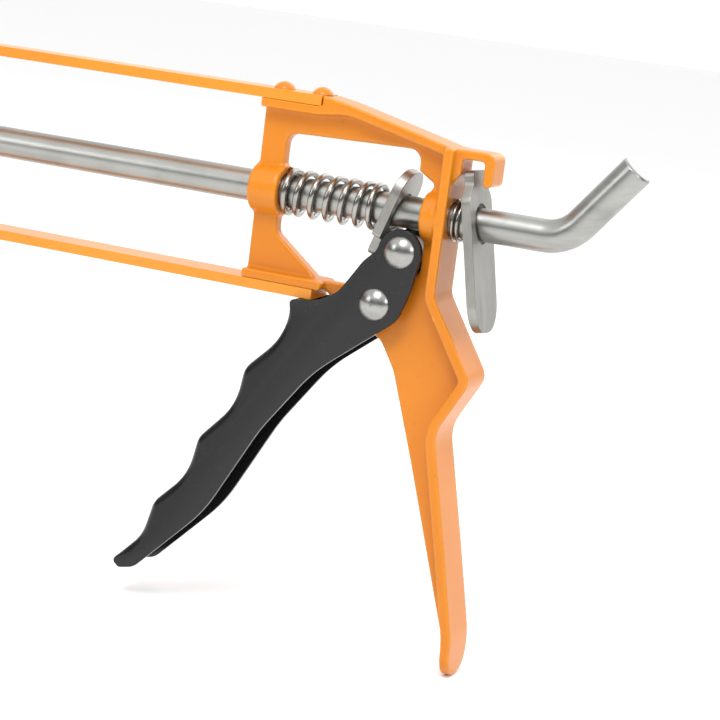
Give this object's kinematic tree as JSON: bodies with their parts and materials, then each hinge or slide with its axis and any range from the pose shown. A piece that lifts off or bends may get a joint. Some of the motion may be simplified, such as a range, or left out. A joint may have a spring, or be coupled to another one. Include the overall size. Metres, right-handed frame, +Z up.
{
  "type": "caulking gun",
  "caption": "Skeleton caulking gun: flat-bar cartridge cradle, cast handle with a sprung trigger and drive plate, and a bent push rod held by a release plate.",
  "frame": {"origin": "cartridge and push rod axis at the nose plate's inner face, which is also the end of the nozzle slot's wall", "axes": "+X along the push rod to the bent end, +Z up with the handle hanging down, +Y to the far side from the nozzle slot's open side"},
  "size_m": [0.3487, 0.0468, 0.1632],
  "materials": {
    "orange_casting": "orange paint with a slight orange peel over a die-cast alloy",
    "orange_bar": "orange paint over flat steel",
    "orange_rivet": "orange paint over a domed steel rivet",
    "bright_rivet": "bright domed steel",
    "zinc_rod": "zinc plated, drawn along its length",
    "zinc_sheet": "zinc plated pressed sheet",
    "zinc_fastener": "zinc plated",
    "black_trigger": "black semi-gloss paint over pressed steel",
    "plate_steel": "zinc plated stamped plate with sheared edges",
    "spring_wire": "bright drawn spring wire"
  },
  "bodies": {
    "frame": {"handle_casting": "orange_casting", "upper_frame_bar": "orange_bar", "lower_frame_bar": "orange_bar", "nose_plate": "orange_bar", "upper_frame_rivets": "orange_rivet", "lower_frame_rivets": "orange_rivet", "nose_rivets": "orange_rivet", "drive_spring": "spring_wire", "release_spring": "spring_wire"},
    "trigger": {"trigger_lever": "black_trigger", "pivot_rivet": "bright_rivet", "drive_rivet": "bright_rivet", "near_pivot_shim": "zinc_fastener", "far_pivot_shim": "zinc_fastener", "drive_spacer": "zinc_fastener"},
    "driver": {"drive_plate": "plate_steel"},
    "releaser": {"release_plate": "plate_steel"},
    "plunger": {"plunger_disc": "zinc_sheet"},
    "rod": {"push_rod": "zinc_rod", "plunger_backing_washer": "zinc_fastener", "plunger_front_washer": "zinc_fastener", "plunger_lock_nut": "zinc_fastener"}
  },
  "joints": [
    {"name": "trigger_squeeze", "type": "hinge", "parent": "frame", "child": "trigger", "pos_m": [0.2694, 0, -0.027], "axis": [0, -1, 0], "range_deg": [0, 40], "stiffness_Nm_per_rad": 0.9, "springref_deg": -20.05},
    {"name": "drive_slide", "type": "slide", "parent": "frame", "child": "driver", "axis": [-1, 0, 0], "range_m": [0, 0.0125], "deforming": ["drive_spring"]},
    {"name": "release_press", "type": "hinge", "parent": "frame", "child": "releaser", "pos_m": [0.2916, 0, 0.0148], "axis": [0, 1, 0], "range_deg": [0, 6.5], "stiffness_Nm_per_rad": 0.3, "springref_deg": -17.19, "deforming": ["release_spring"]},
    {"name": "rod_slide", "type": "slide", "parent": "frame", "child": "plunger", "axis": [1, 0, 0], "range_m": [-0.014, 0.185]},
    {"name": "rod_turn", "type": "hinge", "parent": "plunger", "child": "rod", "pos_m": [0.0288, 0, 0], "axis": [1, 0, 0], "continuous": true}
  ],
  "couplings": [
    {"joint": "drive_slide", "follows": "trigger_squeeze", "m_per_rad": 0.0174}
  ]
}
